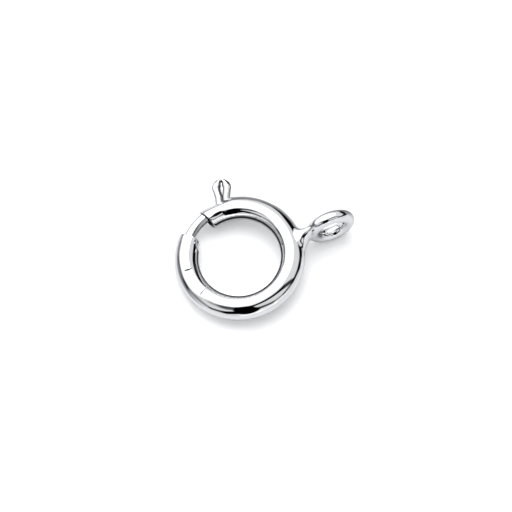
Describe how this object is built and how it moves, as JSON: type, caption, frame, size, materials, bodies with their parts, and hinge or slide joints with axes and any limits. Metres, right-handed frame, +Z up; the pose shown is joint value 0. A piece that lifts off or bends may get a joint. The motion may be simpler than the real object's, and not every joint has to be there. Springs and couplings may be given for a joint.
{
  "type": "spring ring clasp",
  "caption": "Round jewellery clasp: a hollow split ring with a soldered attaching loop and a sprung wire tongue that slides back by a small looped trigger to open the gap.",
  "frame": {"origin": "centre of the ring, which is also the centre that the tongue slides round", "axes": "+Z up as the clasp lies on a surface; +X level, towards the attaching loop; the ring's own axis leans away from the loop by about 5 degrees, because the clasp rests on its loop and on the far side of the ring"},
  "size_m": [0.0085, 0.0069, 0.0023],
  "materials": {
    "polished_silver": "mirror-polished sterling silver tube with a soldered loop",
    "polished_silver_wire": "mirror-polished sterling silver wire, a little worn where it slides",
    "spring_steel": "drawn spring wire"
  },
  "bodies": {
    "case": {"case": "polished_silver", "spring": "spring_steel"},
    "tongue": {"tongue": "polished_silver_wire"}
  },
  "joints": [
    {"name": "tongue_slide", "type": "hinge", "parent": "case", "child": "tongue", "pos_m": [0, 0, 0], "axis": [0.0875, 0, -0.9962], "range_deg": [0, 40], "stiffness_Nm_per_rad": 0.002, "springref_deg": -28.65, "deforming": ["spring"]}
  ]
}
